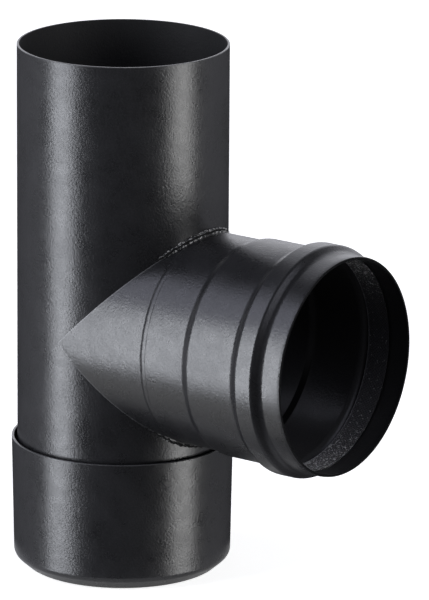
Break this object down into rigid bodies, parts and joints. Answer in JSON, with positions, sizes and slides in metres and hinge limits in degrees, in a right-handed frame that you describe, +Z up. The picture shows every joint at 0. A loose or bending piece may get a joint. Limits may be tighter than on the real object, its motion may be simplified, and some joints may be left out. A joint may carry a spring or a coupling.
{
  "type": "stove pipe tee",
  "caption": "Single-wall 90 degree stove pipe tee with a gasketed, beaded socket on the branch and a push-on soot cap closing the lower end.",
  "frame": {"origin": "centre of the cap's flat underside, on the run tube's axis", "axes": "+Z up along the run tube, +X along the branch towards its mouth, +Y completes the right-handed frame"},
  "size_m": [0.1827, 0.1102, 0.2542],
  "materials": {
    "painted_steel": "satin black textured stove paint",
    "painted_weld": "satin black paint over weld metal",
    "painted_cap": "satin black textured stove paint",
    "woven_gasket": "black woven sealing band, matt"
  },
  "bodies": {
    "tee": {"run_tube": "painted_steel", "branch_saddle": "painted_steel", "branch_socket": "painted_steel", "seam_weld": "painted_weld", "upper_saddle_weld": "painted_weld", "lower_saddle_weld": "painted_weld", "socket_gasket": "woven_gasket"},
    "cap": {"end_cap": "painted_cap"}
  },
  "joints": [
    {"name": "cap_pull", "type": "slide", "parent": "tee", "child": "cap", "axis": [0, 0, -1], "range_m": [0, 0.07]}
  ]
}
